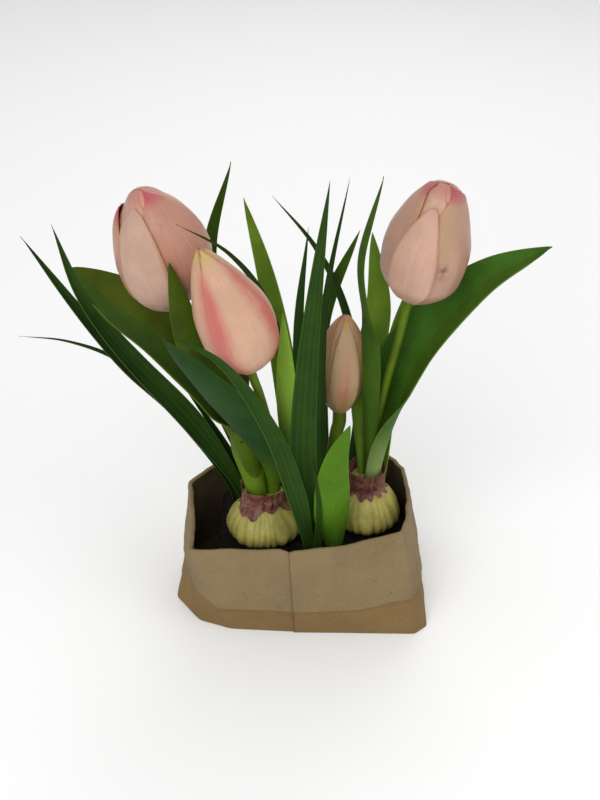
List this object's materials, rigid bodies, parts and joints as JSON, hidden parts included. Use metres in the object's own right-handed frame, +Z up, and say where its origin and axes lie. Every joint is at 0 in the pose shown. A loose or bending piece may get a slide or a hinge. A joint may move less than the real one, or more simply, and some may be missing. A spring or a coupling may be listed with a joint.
{
  "type": "tulip arrangement in a paper bag",
  "caption": "Potted artificial tulips with bulbs, broad leaves and grass blades, set in soil inside a kraft paper bag with a turned-down cuff.",
  "frame": {"origin": "centre of the bag's flat bottom, on the surface that it stands on", "axes": "+Z up, +X to the right along the bag's long side as seen from the front, +Y to the back; the front looks along -Y"},
  "size_m": [0.224, 0.0942, 0.216],
  "materials": {
    "kraft": "matt brown kraft paper",
    "kraft_inside": "matt greyer inner side of the same paper",
    "foam": "dark open-celled floral foam, matt",
    "soil": "dark crumbly potting soil, matt",
    "bulb": "cream to yellow-green ribbed skin, satin",
    "husk": "maroon papery husk, wrinkled",
    "pick": "plain wood",
    "stem": "soft coated stem, satin green",
    "core": "matt yellow-green",
    "inner_petal": "soft-touch petal, satin orange-pink",
    "petal": "soft-touch petal, satin peach pink",
    "leaf": "soft-touch leaf, satin green",
    "blade": "thin ribbed blade, satin dark green"
  },
  "bodies": {
    "bag": {"kraft_bag": "kraft", "bag_cuff": "kraft_inside"},
    "planting": {"foam_block": "foam", "soil_crust": "soil", "left_bulb": "bulb", "left_husk": "husk", "left_pick": "pick", "right_bulb": "bulb", "right_husk": "husk", "right_pick": "pick", "left_tulip_stem": "stem", "front_tulip_stem": "stem", "bud_tulip_stem": "stem", "right_tulip_stem": "stem", "left_sheath_leaf": "leaf", "left_short_leaf": "leaf", "front_sheath_leaf": "leaf", "centre_light_leaf": "leaf", "front_small_leaf": "leaf", "right_sheath_leaf": "leaf", "right_tall_leaf": "leaf", "right_rear_leaf": "leaf", "rear_left_leaf": "leaf", "rear_centre_leaf": "leaf", "rear_right_leaf": "leaf", "behind_right_leaf": "leaf", "centre_tall_blade": "blade", "centre_left_blade": "blade", "centre_thin_blade": "blade", "front_arch_blade": "blade", "front_short_blade": "blade", "left_dark_blade": "blade", "far_left_blade": "blade", "low_left_blade": "blade", "crossing_left_blade": "blade", "crossing_right_blade": "blade", "back_left_blade": "blade", "back_inner_blade": "blade"},
    "left_head": {"left_tulip_core": "core", "left_tulip_inner_cup": "inner_petal", "left_tulip_petal_1": "petal", "left_tulip_petal_2": "petal", "left_tulip_petal_3": "petal"},
    "front_head": {"front_tulip_core": "core", "front_tulip_inner_cup": "inner_petal", "front_tulip_petal_1": "petal", "front_tulip_petal_2": "petal", "front_tulip_petal_3": "petal"},
    "bud_head": {"bud_tulip_core": "core", "bud_tulip_inner_cup": "inner_petal", "bud_tulip_petal_1": "petal", "bud_tulip_petal_2": "petal", "bud_tulip_petal_3": "petal"},
    "right_head": {"right_tulip_core": "core", "right_tulip_inner_cup": "inner_petal", "right_tulip_petal_1": "petal", "right_tulip_petal_2": "petal", "right_tulip_petal_3": "petal"}
  },
  "joints": [
    {"name": "planting_lift", "type": "slide", "parent": "bag", "child": "planting", "axis": [0, 0, 1], "range_m": [0, 0.06]},
    {"name": "left_head_turn", "type": "hinge", "parent": "planting", "child": "left_head", "pos_m": [-0.056, 0.002, 0.148], "axis": [-0.1563, -0.1736, 0.9723], "continuous": true},
    {"name": "front_head_turn", "type": "hinge", "parent": "planting", "child": "front_head", "pos_m": [-0.022, -0.027, 0.134], "axis": [-0.2129, -0.2293, 0.9498], "continuous": true},
    {"name": "bud_head_turn", "type": "hinge", "parent": "planting", "child": "bud_head", "pos_m": [0.0165, 0.01, 0.09], "axis": [0.0191, -0.1146, 0.9932], "continuous": true},
    {"name": "right_head_turn", "type": "hinge", "parent": "planting", "child": "right_head", "pos_m": [0.0455, 0, 0.153], "axis": [0.2351, -0.209, 0.9492], "continuous": true}
  ]
}
